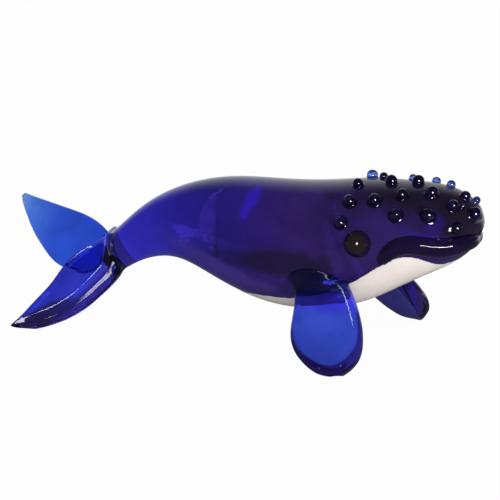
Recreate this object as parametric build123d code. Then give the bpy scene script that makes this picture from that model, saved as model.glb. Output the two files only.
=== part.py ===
from build123d import *
import os
from math import asin, copysign, cos, degrees, pi, radians, sin, sqrt

# Solid hot-worked glass whale, in millimetres.
# While it is built, +X runs from the tail joint to the nose, +Y is the whale's left,
# and z = 0 is the surface that both flippers and the lower fluke tip stand on.
# At the end every piece moves so that the origin is the middle of the footprint.

# Body gather
body_length = 117.4  # tail joint to nose
body_depth = 39.5  # back to belly at the thickest place
body_width = 40.6  # side to side at the thickest place
spine_height = 30.8  # middle of the thickest place above the surface

# Opal white glass laid under the throat and belly
opal_thickness = 2.6

# Trail of blue glass that forms the lower lip
lip_radius = 3.4

# Flippers: pressed paddles from the flanks down to the surface
flipper_chord = 21.6  # widest place of the paddle
flipper_thickness = 6.4
flipper_root_sink = 5.0  # how far the form of the root reaches into the flank before it is cut
right_foot_forward = 6.8  # root to foot, towards the nose
right_foot_outward = 13.4
left_foot_forward = 13.9
left_foot_outward = 16.4
foot_depth = 0.5  # glass ground away under each point of rest

# Tail flukes: a thick leaf on the right that carries the thin one on the left
fluke_reach = 31.0  # middle of the flukes to the tips, along the tail
fluke_half_span = 27.5
fluke_offset = 8.9  # tail joint to the middle of the flukes
thick_fluke_thickness = 6.6
thin_fluke_thickness = 3.4
tail_cut = 0.7  # the tail's last section to the joint with the thick leaf
fluke_collar = 0.35  # how far the leaf's rim stands out of the tail there

# Eyes: a clear blue casing with a dark pupil bead on it
eye_casing_radius = 3.7
eye_casing_height = 0.9
eye_pupil_radius = 3.0
eye_pupil_height = 1.5

# Tubercles: small balls of glass on the head
tubercle_radius = 2.2  # the largest of them
seat_gap = 0.02  # between an applied dot and the glass that carries it

# Stations of the body from the tail joint to the nose. Each row holds the place along
# body_length, the height of the middle as a share of spine_height, the half depth as a share
# of body_depth, the half width as a share of body_width, and the tilt in degrees.
body_station_shares = [
    (0.000, 0.763, 0.163, 0.158, 20),
    (0.087, 0.978, 0.210, 0.210, 22),
    (0.197, 1.104, 0.308, 0.300, 8),
    (0.316, 1.083, 0.417, 0.418, 0),
    (0.432, 1.017, 0.481, 0.483, 0),
    (0.542, 1.005, 0.500, 0.500, 0),
    (0.652, 1.060, 0.491, 0.498, 0),
    (0.759, 1.156, 0.437, 0.465, 0),
    (0.836, 1.238, 0.371, 0.418, 0),
    (0.911, 1.300, 0.299, 0.340, 0),
    (0.962, 1.329, 0.215, 0.245, 0),
    (0.989, 1.346, 0.128, 0.147, 0),
    (1.000, 1.364, 0.020, 0.026, 0),
]

# Edge between opal and blue glass seen from the side, from the chin to behind the flippers:
# place along body_length, height as a share of spine_height.
opal_edge_shares = [
    (0.975, 0.990),
    (0.945, 1.010),
    (0.911, 0.990),
    (0.885, 1.040),
    (0.853, 1.094),
    (0.818, 1.091),
    (0.770, 0.997),
    (0.719, 0.857),
    (0.647, 0.700),
    (0.537, 0.570),
    (0.429, 0.545),
    (0.338, 0.470),
    (0.260, 0.300),
]

# Right side of the lower lip from its corner to the middle of the chin: place along
# body_length, degrees above the side of the head, radius as a share of lip_radius, and how
# deep its middle is sunk as a share of lip_radius.
lip_shares = [
    (0.748, -21, 0.50, 1.10),
    (0.778, -12, 0.78, 0.72),
    (0.819, -3, 0.95, 0.64),
    (0.856, -5, 1.00, 0.64),
    (0.893, -13, 1.00, 0.60),
    (0.930, -22, 1.00, 0.58),
    (0.957, -29, 0.95, 0.58),
    (0.985, -90, 0.86, 0.68),
]

# Flipper outline from root to foot: place along its length, leading edge and trailing edge
# as shares of flipper_chord, and thickness as a share of flipper_thickness.
flipper_shares = [
    (0.030, 0.340, -0.370, 0.88),
    (0.180, 0.465, -0.365, 0.85),
    (0.330, 0.515, -0.405, 0.88),
    (0.480, 0.545, -0.450, 0.94),
    (0.640, 0.545, -0.440, 1.00),
    (0.790, 0.505, -0.335, 1.00),
    (0.900, 0.415, -0.205, 0.90),
    (0.970, 0.280, -0.060, 0.66),
    (1.000, 0.170, 0.060, 0.30),
]
right_flipper_share = 0.619  # root along body_length
left_flipper_share = 0.634
flipper_root_clock = 23  # degrees below the side
left_flipper_twist = 22  # degrees about its length
flipper_squareness = 0.8

# Flukes from root to tip: leading edge and trailing edge, each as its place behind the middle
# of the flukes (share of fluke_reach) and off the tail's middle (share of fluke_half_span),
# the thickness as a share of its own thickness, and how far it lies under the fluke plane as a
# share of thick_fluke_thickness.
thick_fluke_shares = [
    ((-0.255, 0.375), (-0.175, -0.315), 1.65, 0.0),
    ((-0.165, 0.530), (-0.020, -0.165), 1.30, 0.0),
    ((-0.040, 0.690), (0.165, -0.040), 1.08, 0.0),
    ((0.130, 0.820), (0.325, 0.120), 0.95, 0.0),
    ((0.320, 0.905), (0.455, 0.370), 0.85, 0.0),
    ((0.520, 0.950), (0.610, 0.585), 0.74, 0.0),
    ((0.690, 0.970), (0.740, 0.765), 0.60, 0.0),
    ((0.790, 0.965), (0.812, 0.855), 0.48, 0.0),
    ((0.832, 0.945), (0.838, 0.885), 0.34, 0.0),
]
thin_fluke_shares = [
    ((-0.130, 0.070), (0.040, -0.230), 1.10, 0.42),
    ((-0.075, 0.320), (0.230, -0.200), 1.05, 0.38),
    ((0.050, 0.480), (0.360, -0.125), 1.00, 0.31),
    ((0.200, 0.600), (0.500, -0.020), 0.97, 0.24),
    ((0.400, 0.715), (0.650, 0.190), 0.92, 0.18),
    ((0.600, 0.825), (0.785, 0.425), 0.84, 0.12),
    ((0.790, 0.930), (0.895, 0.675), 0.74, 0.07),
    ((0.920, 1.005), (0.970, 0.880), 0.58, 0.03),
    ((0.965, 1.015), (0.985, 0.955), 0.38, 0.0),
    ((0.980, 1.003), (0.985, 0.980), 0.16, 0.0),
]
fluke_heading = 184.7  # degrees from +X
fluke_droop = 11.3  # degrees below the level
thick_fluke_lean = 0.35  # how much fuller its leading edge is
thin_fluke_lean = 0.1

# Tubercles by region. Each row holds the place along body_length, the clock angle from the
# right side upwards in degrees, and the radius as a share of tubercle_radius.
tubercle_shares = {
    "crown": [
        (0.699, 103, 0.80),
        (0.685, 73, 0.74),
        (0.733, 98, 0.60),
        (0.766, 80, 0.82),
        (0.807, 104, 0.58),
        (0.832, 85, 0.82),
        (0.862, 118, 0.62),
        (0.909, 100, 0.62),
        (0.953, 76, 0.72),
        (0.975, 98, 0.54),
    ],
    "right_brow": [
        (0.682, 49, 0.84),
        (0.745, 48, 0.86),
        (0.809, 54, 0.80),
        (0.879, 59, 0.90),
    ],
    "right_cheek": [
        (0.670, 29, 0.80),
        (0.806, 30, 0.84),
        (0.883, 27, 0.90),
    ],
    "right_snout": [
        (0.935, 43, 0.76),
        (0.955, 48, 0.38),
        (0.981, 40, 0.86),
        (0.952, 9, 0.70),
    ],
    "left_brow": [
        (0.690, 143, 0.82),
        (0.752, 147, 0.88),
        (0.818, 146, 0.78),
        (0.884, 149, 0.84),
    ],
    "left_cheek": [
        (0.664, 162, 0.80),
        (0.798, 160, 0.86),
        (0.872, 163, 0.88),
    ],
    "left_snout": [
        (0.930, 148, 0.74),
        (0.953, 168, 0.82),
        (0.925, 172, 0.68),
    ],
}
bead_stand_share = 0.42  # how much of its radius a ball's middle stands above the glass
eye_share = 0.7185  # along body_length
eye_clock = 8.5  # degrees above the side

ring_count = 12
blade_count = 16
world_up = Vector(0, 0, 1)
leftward = Vector(0, 1, 0)


def oval(centre, across, up, half_across, half_up, squareness=1, lean=0, points=blade_count):
    """Smooth closed wire: an ellipse, squared off by squareness and fuller on one side by lean."""
    corners = []
    for k in range(points):
        turn = 2 * pi * k / points
        flat = copysign(abs(cos(turn)) ** squareness, cos(turn))
        rise = copysign(abs(sin(turn)) ** squareness, sin(turn)) * (1 + lean * flat)
        corners.append(centre + across * (half_across * flat) + up * (half_up * rise))
    return Wire([Edge.make_spline(corners, periodic=True)])


def body_section(share):
    """Middle point, half depth and half width of the body, a share of body_length from the tail."""
    for low, high in zip(body_station_shares, body_station_shares[1:]):
        if share <= high[0]:
            part = (share - low[0]) / (high[0] - low[0])
            height, half_depth, half_width = (
                a + (b - a) * part for a, b in zip(low[1:4], high[1:4])
            )
            middle = Vector(share * body_length, 0, height * spine_height)
            return middle, half_depth * body_depth, half_width * body_width


def body_loft(inset, stations):
    """The body's form through the given stations, drawn in by inset."""
    wires = []
    for along, height, half_depth, half_width, tilt in stations:
        wires.append(
            oval(
                Vector(along * body_length, 0, height * spine_height),
                Vector(-sin(radians(tilt)), 0, cos(radians(tilt))),
                leftward,
                half_depth * body_depth - inset,
                half_width * body_width - inset,
                points=ring_count,
            )
        )
    return Solid.make_loft(wires)


envelope = body_loft(0, body_station_shares)
skin = max(envelope.faces(), key=lambda face: face.area)


def on_skin(share, clock):
    """Point and outward normal of the skin, at a clock angle from the right side upwards."""
    middle, half_depth, half_width = body_section(share)
    aside = cos(radians(clock))
    upward = sin(radians(clock))
    reach = 1 / sqrt((aside / half_width) ** 2 + (upward / half_depth) ** 2)
    point, _ = skin.closest_points(middle + Vector(0, -aside, upward) * reach)
    normal = skin.normal_at(point)
    if normal.dot(point - middle) < 0:
        normal = -normal
    return point, normal


def make_lip():
    """Rod of glass laid round the lower jaw, the left side mirrored from the right."""
    right = []
    for share, clock, radius, sunk in lip_shares:
        point, normal = on_skin(share, clock)
        right.append((point - normal * (sunk * lip_radius), normal, radius * lip_radius))
    left = [
        (Vector(p.X, -p.Y, p.Z), Vector(n.X, -n.Y, n.Z), r) for p, n, r in reversed(right[:-1])
    ]
    stops = right + left
    wires = []
    for k, (centre, normal, radius) in enumerate(stops):
        before = stops[max(k - 1, 0)][0]
        after = stops[min(k + 1, len(stops) - 1)][0]
        along = (after - before).normalized()
        outward = (normal - along * normal.dot(along)).normalized()
        wires.append(oval(centre, outward, outward.cross(along), radius, radius, points=ring_count))
    return Solid.make_loft(wires)


def make_opal_cutter():
    """Block with a curved top edge and a core taken out, which parts the opal from the blue."""
    edge = [Vector(a * body_length, -body_width, h * spine_height) for a, h in opal_edge_shares]
    front = edge[0]
    rear = edge[-1]
    low_front = Vector(front.X, front.Y, 0)
    low_rear = Vector(rear.X, rear.Y, 0)
    outline = Wire(
        [
            Edge.make_spline(edge),
            Edge.make_line(rear, low_rear),
            Edge.make_line(low_rear, low_front),
            Edge.make_line(low_front, front),
        ]
    )
    block = Solid.extrude(Face(outline), leftward * (2 * body_width))
    return block - body_loft(opal_thickness, body_station_shares[1:-1])


def make_ground():
    """Everything under the surface that the whale stands on."""
    corner = Vector(-body_length, -body_length, -body_depth)
    return Solid.make_box(3 * body_length, 2 * body_length, body_depth, Plane(corner))


def make_flipper(side, share, forward, outward, twist):
    """Paddle from the flank down to its foot. Side is -1 for the right and 1 for the left."""
    point, _ = on_skin(share, -flipper_root_clock)
    root = Vector(point.X, side * abs(point.Y), point.Z)
    foot = Vector(root.X + forward, root.Y + side * outward, -foot_depth)
    length = (foot - root).length
    along = (foot - root).normalized()
    nose = Vector(1, 0, 0)
    level_chord = (nose - along * nose.dot(along)).normalized()
    chord = level_chord.rotate(Axis((0, 0, 0), along), twist)
    thick = along.cross(chord)
    first = (-flipper_root_sink / length, *flipper_shares[0][1:])
    wires = []
    for place, lead, trail, thickness in [first] + flipper_shares:
        wires.append(
            oval(
                root + along * (place * length) + chord * ((lead + trail) / 2 * flipper_chord),
                chord,
                thick,
                (lead - trail) / 2 * flipper_chord,
                thickness * flipper_thickness / 2,
                squareness=flipper_squareness,
            )
        )
    paddle = Solid.make_loft(wires)
    return Pos(0, 0, -foot_depth - paddle.bounding_box().min.Z) * paddle


def fluke_frame():
    """Middle of the flukes, the direction backwards and the one out to the left tip.

    The flukes are rolled about the tail so far that the right tip stands on the surface.
    """
    pitch = radians(fluke_droop)
    heading = radians(fluke_heading)
    back = Vector(cos(heading) * cos(pitch), sin(heading) * cos(pitch), -sin(pitch))
    centre = body_section(0)[0] + back * fluke_offset
    tip_back, tip_out = thick_fluke_shares[-1][0]
    drop = centre.Z + back.Z * tip_back * fluke_reach + foot_depth
    roll = asin(drop / (tip_out * fluke_half_span * cos(pitch)))
    level = back.cross(world_up).normalized()
    return centre, back, level * cos(roll) + level.cross(back) * sin(roll)


def make_fluke(rows, side, thickness, lean, root=None):
    """Leaf through stations that each span from its leading to its trailing edge."""
    centre, back, out = fluke_frame()
    below = back.cross(out)
    up = below * side
    wires = []
    for lead, trail, thick, under in rows:
        front = centre + back * (lead[0] * fluke_reach) + out * (side * lead[1] * fluke_half_span)
        rear = centre + back * (trail[0] * fluke_reach) + out * (side * trail[1] * fluke_half_span)
        across = front - rear
        if root and not wires:
            wires.append(root(across, up))
        wires.append(
            oval(
                (front + rear) * 0.5 + below * (under * thick_fluke_thickness),
                across.normalized(),
                up,
                across.length / 2,
                thick * thickness / 2,
                lean=lean,
            )
        )
    return Solid.make_loft(wires)


def tail_joint():
    """Middle of the joint between tail and flukes, and the direction into the body."""
    tilt = radians(body_station_shares[0][4])
    inward = Vector(cos(tilt), 0, sin(tilt))
    return body_section(tail_cut * cos(tilt) / body_length), inward


def tail_socket(across, up):
    """Round first section of the thick leaf, flat on the end of the tail."""
    (middle, half_depth, half_width), inward = tail_joint()
    flat = (across - inward * across.dot(inward)).normalized()
    rise = inward.cross(flat)
    if rise.dot(up) < 0:
        rise = -rise
    return oval(middle, flat, rise, half_width + fluke_collar, half_depth + fluke_collar)


def make_tail_end():
    """Everything of the body's form that lies behind the joint with the flukes."""
    (middle, _, _), inward = tail_joint()
    return Solid.make_cylinder(body_width, 2 * tail_cut, Plane(middle, z_dir=-inward))


def make_bead(share, clock, radius):
    """Ball seated flat on the skin, with its middle a share of the radius above it."""
    point, normal = on_skin(share, clock)
    middle = point + normal * (bead_stand_share * radius + seat_gap)
    seat = degrees(asin(bead_stand_share))
    return Solid.make_sphere(radius, Plane(middle, z_dir=normal), angle1=-seat)


def make_dome(point, normal, radius, height):
    """Cap of a ball, seated flat on point: radius at its foot and height above it."""
    ball = (radius**2 + height**2) / (2 * height)
    middle = point - normal * (ball - height)
    cut = degrees(asin((ball - height) / ball))
    return Solid.make_sphere(ball, Plane(middle, z_dir=normal), angle1=cut)


def make_eye():
    """Casing dot fused to the right of the head and the pupil bead fused on top of it."""
    point, normal = on_skin(eye_share, eye_clock)
    seat = point + normal * seat_gap
    casing = make_dome(seat, normal, eye_casing_radius, eye_casing_height)
    pupil = make_dome(seat, normal, eye_pupil_radius, eye_casing_height + eye_pupil_height)
    return casing, pupil - casing


os.makedirs("parts", exist_ok=True)
pieces = {}
cutter = make_opal_cutter()
ground = make_ground()
lip = make_lip()
thick_fluke = make_fluke(
    thick_fluke_shares, -1, thick_fluke_thickness, thick_fluke_lean, tail_socket
)
thin_fluke = make_fluke(thin_fluke_shares, 1, thin_fluke_thickness, thin_fluke_lean)
pieces["body"] = envelope - cutter - lip - make_tail_end()
pieces["white_belly"] = (envelope & cutter) - lip
pieces["lower_lip"] = lip
right_flipper = make_flipper(
    -1, right_flipper_share, right_foot_forward, right_foot_outward, 0
)
left_flipper = make_flipper(
    1, left_flipper_share, left_foot_forward, left_foot_outward, left_flipper_twist
)
pieces["right_flipper"] = right_flipper - envelope - ground
pieces["left_flipper"] = left_flipper - envelope - ground
pieces["right_fluke"] = thick_fluke - ground
pieces["left_fluke"] = thin_fluke - thick_fluke - envelope
pieces["right_eye_casing"], pieces["right_eye_pupil"] = make_eye()
for name in ("eye_casing", "eye_pupil"):
    pieces[f"left_{name}"] = mirror(pieces[f"right_{name}"], Plane.XZ)
for region, rows in tubercle_shares.items():
    for number, (share, clock, size) in enumerate(rows, 1):
        pieces[f"{region}_tubercle_{number}"] = make_bead(share, clock, size * tubercle_radius)

whole = Compound(list(pieces.values())).bounding_box()
middle = (whole.min + whole.max) * 0.5
to_origin = Pos(-middle.X, -middle.Y, 0)
print("length, width and height", whole.size)
print("moved by", to_origin.position)
for name, shape in pieces.items():
    print(name, "solids", len(shape.solids()), "volume", round(shape.volume, 1))
    export_step(to_origin * shape, f"parts/{name}.step")
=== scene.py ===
"""Looks of a solid glass whale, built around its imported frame. Lengths are in metres."""
import random
from math import cos, pi, radians, sin, sqrt

import bmesh
import bpy
import numpy as np
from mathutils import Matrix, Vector
from mathutils.bvhtree import BVHTree


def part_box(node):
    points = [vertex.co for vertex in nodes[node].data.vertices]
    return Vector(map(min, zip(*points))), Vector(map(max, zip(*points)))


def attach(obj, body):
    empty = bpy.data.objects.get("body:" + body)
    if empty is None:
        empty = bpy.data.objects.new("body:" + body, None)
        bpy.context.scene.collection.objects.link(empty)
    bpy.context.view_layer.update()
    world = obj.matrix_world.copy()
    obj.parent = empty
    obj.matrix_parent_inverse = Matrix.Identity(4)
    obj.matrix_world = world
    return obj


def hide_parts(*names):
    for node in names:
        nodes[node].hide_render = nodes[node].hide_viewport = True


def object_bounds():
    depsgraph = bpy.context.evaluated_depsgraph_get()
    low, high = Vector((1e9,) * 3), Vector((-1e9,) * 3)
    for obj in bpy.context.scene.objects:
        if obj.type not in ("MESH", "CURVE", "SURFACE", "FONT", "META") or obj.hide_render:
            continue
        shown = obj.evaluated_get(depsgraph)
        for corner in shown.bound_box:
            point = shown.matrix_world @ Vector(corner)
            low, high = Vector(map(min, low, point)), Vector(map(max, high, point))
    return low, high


MM = 0.001

# Camera: the photograph's viewing angle
CAMERA_AZIMUTH = 20.0  # degrees from the whale's right side towards its nose
CAMERA_ELEVATION = 15.0
CAMERA_DISTANCE = 500 * MM
CAMERA_TARGET = Vector((7.05, -1.53, 27.0)) * MM
CAMERA_LENS, CAMERA_SENSOR = 115.2, 36.0  # millimetres
BACKWARD = Vector((-sin(radians(CAMERA_AZIMUTH)), cos(radians(CAMERA_AZIMUTH)), 0))

# Body grid
BODY_RINGS = 170
BODY_SPOKES = 200
RING_CROWDING = 0.62  # how far the rings crowd towards the nose
RAY_START = 60 * MM  # from the body's middle out, where the rays onto its skin start
RAY_TOP = 200 * MM  # heights from which the body's top and bottom are looked for
RAY_BOTTOM = -100 * MM
MIDDLE_CLEAR = 6 * MM  # ahead of the tail's joint, where the middle line starts to follow the solid
MIDDLE_ROUNDS = 60  # smoothing of the middle line
FILL_ROUNDS = 400  # evening out of the skin over the lip's channel
BODY_SMOOTHING = 14
BODY_WAVES = 16  # waves round a section beyond which its outline is smoothed away
NOSE_SKIP = 0.05 * MM  # last ring short of the nose

# Mouth
LIP_TOUCH = 0.04 * MM  # how near the skin lies to the lip in its channel
LIP_NEAR = 3 * MM  # how near to the lip the channel's upper edge is looked for
LIP_BACK = -10 * MM  # place behind which there is no lip
RIM_WINDOW = 5 * MM  # along X, where points of the channel's edge count for a ring
CREASE_DEPTH = 0.35 * MM  # along the top of the lip
MOUTH_DEPTH = 2.6 * MM  # where the mouth stands open at the front
MOUTH_START = 64 * MM
MOUTH_RAMP = 12 * MM  # length over which it opens
MOUTH_WIDTH = 1.1 * MM
MOUTH_REACH = 4 * MOUTH_WIDTH

# Joint of tail and flukes
TAIL_END = Vector((-36.4, -1.53, 24.0)) * MM  # middle of the joint with the flukes
TAIL_TILT = 20.0  # degrees that the joint leans
TILT_REACH = 0.30  # share of the body's length over which the lean fades out
TAIL_SKIP = 0.15 * MM  # first ring ahead of the joint
TAIL_CUT = 0.9 * MM  # behind the joint, where the fluke's root is cut off, then drawn forward
TAIL_LAP = 0.8 * MM  # how far the flukes' glass laps over the body's
TAIL_DRAWN = 2.0 * MM  # behind the joint, as far as the root is drawn forward
TAIL_BLEND = 5.0 * MM  # behind the joint, where the two outlines have run together
TAIL_PROUD = 0.05 * MM  # how far the lapped glass stands out of the body's
TAPER_NEAR = 0.5 * MM  # ahead of the joint, the two places where the body's taper is measured
TAPER_FAR = 2.5 * MM
TAPER_LEAST, TAPER_MOST = -0.7, 0.1
TOP_EARLY = 0.5  # shares by which the outlines run together sooner, on top and at the rolled edge
ROLL_EARLY = 0.65
TAIL_ROLL = Vector((0.28, -0.57, -0.77))  # side of the joint where the rolled edge starts
# Middle line and radius of the rolled edge from the joint on, in millimetres
ROLL_STATIONS = (
    ((-36.3, -4.4, 19.2), 2.7),
    ((-37.6, -7.2, 15.5), 2.9),
    ((-39.8, -11.1, 13.7), 2.8),
    ((-41.9, -14.0, 11.8), 2.4),
)
ROLL_STEPS = 8  # balls from one station to the next
ROLL_GRID = (16, 24)  # rows and spokes of each ball

# Weave of the pieces, which are rewoven from their solids
FINE_WEAVE = 0.25 * MM
WEAVE = 0.3 * MM

# Fused joins
WELD_GAP = 0.002 * MM
TOUCH = 0.35 * MM  # how near a point lies to another piece where the two are melted together
LIES_ON = 0.12 * MM  # the same where a root lies on the glass that carries it
SINK = 0.4 * MM  # how far a fused root reaches into that glass
BURIED = 0.1 * MM  # depth in that glass from which a root's faces are dropped
ROOT_HOLE = 0.2 * MM  # how near the body's skin lies to a flipper's solid where it is opened
FLARE_REACH = 2.4 * MM  # height of the concave fillet at a flipper's root
FLARE = 1.1 * MM  # its width
FLARE_CURVE = 2.2
FLARE_LEAST = 0.2  # part of a normal along the skin from which it gives a side to flare to
OPAL_PROUD = 0.07 * MM  # how far the opal stands out of the blue

# Blades: flippers and flukes, with widths in millimetres
BLADE_BINS = 48  # slices across a blade, in which its edges are measured
BIN_ROUNDS = 3  # smoothing of what they give
ROOT_FADE = 0.15  # share of a blade's length over which its new section fades in
OUTLINE_TURNS = 240  # corners of the outline of a flipper's flat side
OUTLINE_STEPS = 12  # points from one to the next
FLIPPER_FACE = 0.90  # half thickness against that of the solid
FLIPPER_RIDGE, RIDGE_PLACE, RIDGE_WIDTH = 0.10, 2.2, 1.8  # low ridge inside the leading edge
FLIPPER_ROUND = 2.6  # width over which its rim is rounded
ROD_PLACES, ROD_RADII = (0, 0.3, 0.8, 1), (2.9, 2.6, 2.0, 1.3)  # rolled edge of the thick fluke
WEB = 1.25  # half thickness of its web
WEB_SLOPE = 2.6  # width over which the rod runs out into the web
WEB_ROUND = 1.4
THIN_FACE = 1.15  # half thickness of the thin fluke
THIN_ROUND = 1.1
THIN_RIDGE, THIN_RIDGE_WIDTH = 0.25, 0.8
RIM_EDGE = 0.4  # width over which the painted shade on a flipper's rim fades
# Width of that painted rim shade along the blade, at its trailing and at its leading edge
BACK_PLACES, BACK_WIDTHS = (0.35, 0.45, 0.7, 0.85, 1), (0, 1.2, 2.1, 3.2, 4.3)
FRONT_PLACES, FRONT_WIDTHS = (0.4, 0.5, 0.8, 0.9, 1), (0, 0.5, 1.1, 2.6, 4.0)
FAR_SHADE = 0.85  # least painted rim shade over the whole left flipper, the far one
ROLL_SHADE, ROLL_SHADE_EDGE = 4.4, 1.5  # width of the painted shade along the rolled edge, and of its fade

# Beads, in shares of their radius
BEAD_STAND = 0.42  # how far a bead's middle stands above the body
LOW_STAND = 0.05
LOW_BEAD = "right_snout_tubercle_4"
# Beads against the white surroundings, painted paler with light that comes through them from behind
BACKLIT_BEADS = [f"crown_tubercle_{k}" for k in (1, 5, 7, 8, 10)]
BEAD_HEIGHTS = (0.93, 1.0)  # least and most height of a bead
BEAD_SQUASH = (0.95, 1.05)  # how far from round it is
BEAD_ROWS, BEAD_STEP = 12, 8.4  # rows from the top down, and degrees between them
BEAD_FOOT = 0.2  # height at which the concave foot starts
BEAD_HOLE = 1.15  # hole in the body's skin under it
# Rows of the foot: radius, height and how closely they follow the skin
FOOT_ROWS = (
    (0.99, 0.17, 0.4), (1.02, 0.10, 0.7), (1.09, 0.05, 0.9), (1.18, 0.02, 1), (1.28, 0.004, 1),
    (1.36, -0.03, 1), (1.36, -0.12, 1), (0.0, -0.2, 0),
)

# Eyes, in millimetres
EYE_HOLE = 3.6
CASING_ROWS = (
    (0, 1.15, 0), (1.0, 1.12, 0), (2.0, 1.02, 0), (2.7, 0.86, 0), (3.1, 0.66, 0), (3.35, 0.42, 0.4),
    (3.6, 0.18, 0.8), (3.8, 0.06, 1), (4.0, 0.01, 1), (4.2, -0.03, 1), (4.2, -0.2, 1), (0, -0.3, 0),
)
PUPIL_RADIUS = 3.0
PUPIL_RISE, PUPIL_BASE = 1.65, 0.75
PUPIL_STEPS = 10  # rows of its dome
PUPIL_ROWS = ((2.8, 0.55, 0), (2.2, 0.45, 0), (0, 0.4, 0))
EYE_SPOKES = 64

# Feet that follow the skin
SKIN_SEEN = 6 * MM  # height above a foot from which the skin is looked for
SKIN_DEEPEST = 2 * MM  # how far down a foot follows it

BUBBLE_GRID = (8, 12)  # rows and spokes of a seed bubble

# Glass
GLASS_INDEX = 1.5
BLOT_WARP = 0.9  # how unevenly a spot's outline runs, against its radii

# Light
LAMP_DISTANCE = 0.6
# White surroundings: where their glow starts and ends to fade towards the camera's side, and its
# level there, for floor and world, seen in a mirror or through glass
FLOOR_MIRROR, FLOOR_THROUGH = (0.03, 0.20, 0.10), (-0.08, 0.01, 0.35)
WORLD_MIRROR, WORLD_THROUGH = (0.45, 1.15, 0.07), (0.0, 0.85, 0.25)
FLOOR_SIZE = 3.0
FLOOR_GLOW = 0.97  # share of the floor's white that glows
WORLD_LIGHT = 0.7  # what the surroundings give to rough glass

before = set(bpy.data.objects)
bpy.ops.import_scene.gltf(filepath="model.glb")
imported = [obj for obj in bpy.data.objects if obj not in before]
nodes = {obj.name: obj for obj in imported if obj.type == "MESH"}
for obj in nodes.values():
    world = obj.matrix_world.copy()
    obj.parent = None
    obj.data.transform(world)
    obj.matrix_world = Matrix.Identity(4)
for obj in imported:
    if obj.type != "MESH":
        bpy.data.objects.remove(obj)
cad_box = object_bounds()


def mesh_arrays(obj):
    """Vertices and triangles of an object's mesh."""
    mesh = obj.data
    mesh.calc_loop_triangles()
    co = np.zeros(len(mesh.vertices) * 3)
    mesh.vertices.foreach_get("co", co)
    tri = np.zeros(len(mesh.loop_triangles) * 3, int)
    mesh.loop_triangles.foreach_get("vertices", tri)
    return co.reshape(-1, 3), tri.reshape(-1, 3)


def tree_of(*objects):
    """Search tree over the triangles of some objects."""
    points, faces = [], []
    for obj in objects:
        co, tri = mesh_arrays(obj)
        faces.append(tri + sum(len(p) for p in points))
        points.append(co)
    return BVHTree.FromPolygons(np.concatenate(points).tolist(), np.concatenate(faces).tolist())


def new_piece(name, points, faces):
    """Object with a smooth-shaded mesh."""
    mesh = bpy.data.meshes.new(name)
    mesh.from_pydata([tuple(p) for p in points], [], [tuple(f) for f in faces])
    mesh.polygons.foreach_set("use_smooth", [True] * len(mesh.polygons))
    mesh.update()
    obj = bpy.data.objects.new(name, mesh)
    bpy.context.scene.collection.objects.link(obj)
    return obj


def settle(obj):
    """Replaces an object's mesh by its evaluated one and drops the modifiers."""
    graph = bpy.context.evaluated_depsgraph_get()
    graph.update()
    mesh = bpy.data.meshes.new_from_object(obj.evaluated_get(graph))
    old = obj.data
    obj.modifiers.clear()
    obj.data = mesh
    bpy.data.meshes.remove(old)
    mesh.polygons.foreach_set("use_smooth", [True] * len(mesh.polygons))
    return obj


def get_points(obj, field="co"):
    """Places of an object's vertices, or another field of theirs."""
    values = np.zeros(len(obj.data.vertices) * 3)
    obj.data.vertices.foreach_get(field, values)
    return values.reshape(-1, 3)


def set_points(obj, points):
    """Moves an object's vertices, and keeps them inside the box of the solids."""
    points = np.clip(points, np.array(cad_box[0]), np.array(cad_box[1]))
    obj.data.vertices.foreach_set("co", np.ascontiguousarray(points, float).ravel())
    obj.data.update()


def smooth(obj, rounds):
    """Evens out an object's mesh."""
    modifier = obj.modifiers.new("smooth", "SMOOTH")
    modifier.factor = 0.5
    modifier.iterations = rounds
    return settle(obj)


def add_ball(points, faces, centre, radius, rows, spokes, inward=False):
    """Adds a closed ball, or with inward a round hollow, to the points and faces of a mesh."""
    first = len(points)
    points.append(centre + Vector((0, 0, radius)))
    for i in range(1, rows):
        for j in range(spokes):
            up, turn = pi * i / rows, 2 * pi * j / spokes
            outward = Vector((sin(up) * cos(turn), sin(up) * sin(turn), cos(up)))
            points.append(centre + outward * radius)
    points.append(centre - Vector((0, 0, radius)))
    last = len(points) - 1
    added = []
    for j in range(spokes):
        k = (j + 1) % spokes
        added.append((first, first + 1 + j, first + 1 + k))
        for i in range(rows - 2):
            a = first + 1 + spokes * i
            added.append((a + j, a + spokes + j, a + spokes + k, a + k))
        added.append((last - spokes + k, last - spokes + j, last))
    faces.extend(face[::-1] if inward else face for face in added)


def rolled_edge(stations):
    """Balls in a row, which melt into a rod when the piece is rewoven."""
    points, faces = [], []
    for (start, thick), (end, thin) in zip(stations, stations[1:]):
        start, end = Vector(start) * MM, Vector(end) * MM
        for step in range(ROLL_STEPS):
            share = step / ROLL_STEPS
            radius = (thick + (thin - thick) * share) * MM
            add_ball(points, faces, start + (end - start) * share, radius, *ROLL_GRID)
    return points, faces


def remelt(name, node, voxel, rounds, extra=()):
    """New object from a CAD node: the same form, rewoven evenly and with its edges softened."""
    points, faces = (values.tolist() for values in mesh_arrays(nodes[node]))
    for more_points, more_faces in extra:
        faces += [tuple(k + len(points) for k in face) for face in more_faces]
        points += more_points
    obj = new_piece(name, points, faces)
    weld = obj.modifiers.new("weld", "WELD")
    weld.merge_threshold = WELD_GAP
    remesh = obj.modifiers.new("remesh", "REMESH")
    remesh.mode = "VOXEL"
    remesh.voxel_size = voxel
    remesh.use_smooth_shade = True
    return smooth(obj, rounds)


skin_tree = tree_of(nodes["body"], nodes["white_belly"])
lip_tree = tree_of(nodes["lower_lip"])
lip_low, lip_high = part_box("lower_lip")
middle_y = (lip_low.y + lip_high.y) / 2


def ease(share):
    """Smooth step from 0 to 1."""
    return share * share * (3 - 2 * share)


def even_out(rows):
    """Each row but the first and last becomes a mean of itself and its neighbours."""
    rows[1:-1] = (rows[:-2] + rows[2:] + 2 * rows[1:-1]) / 4


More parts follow.
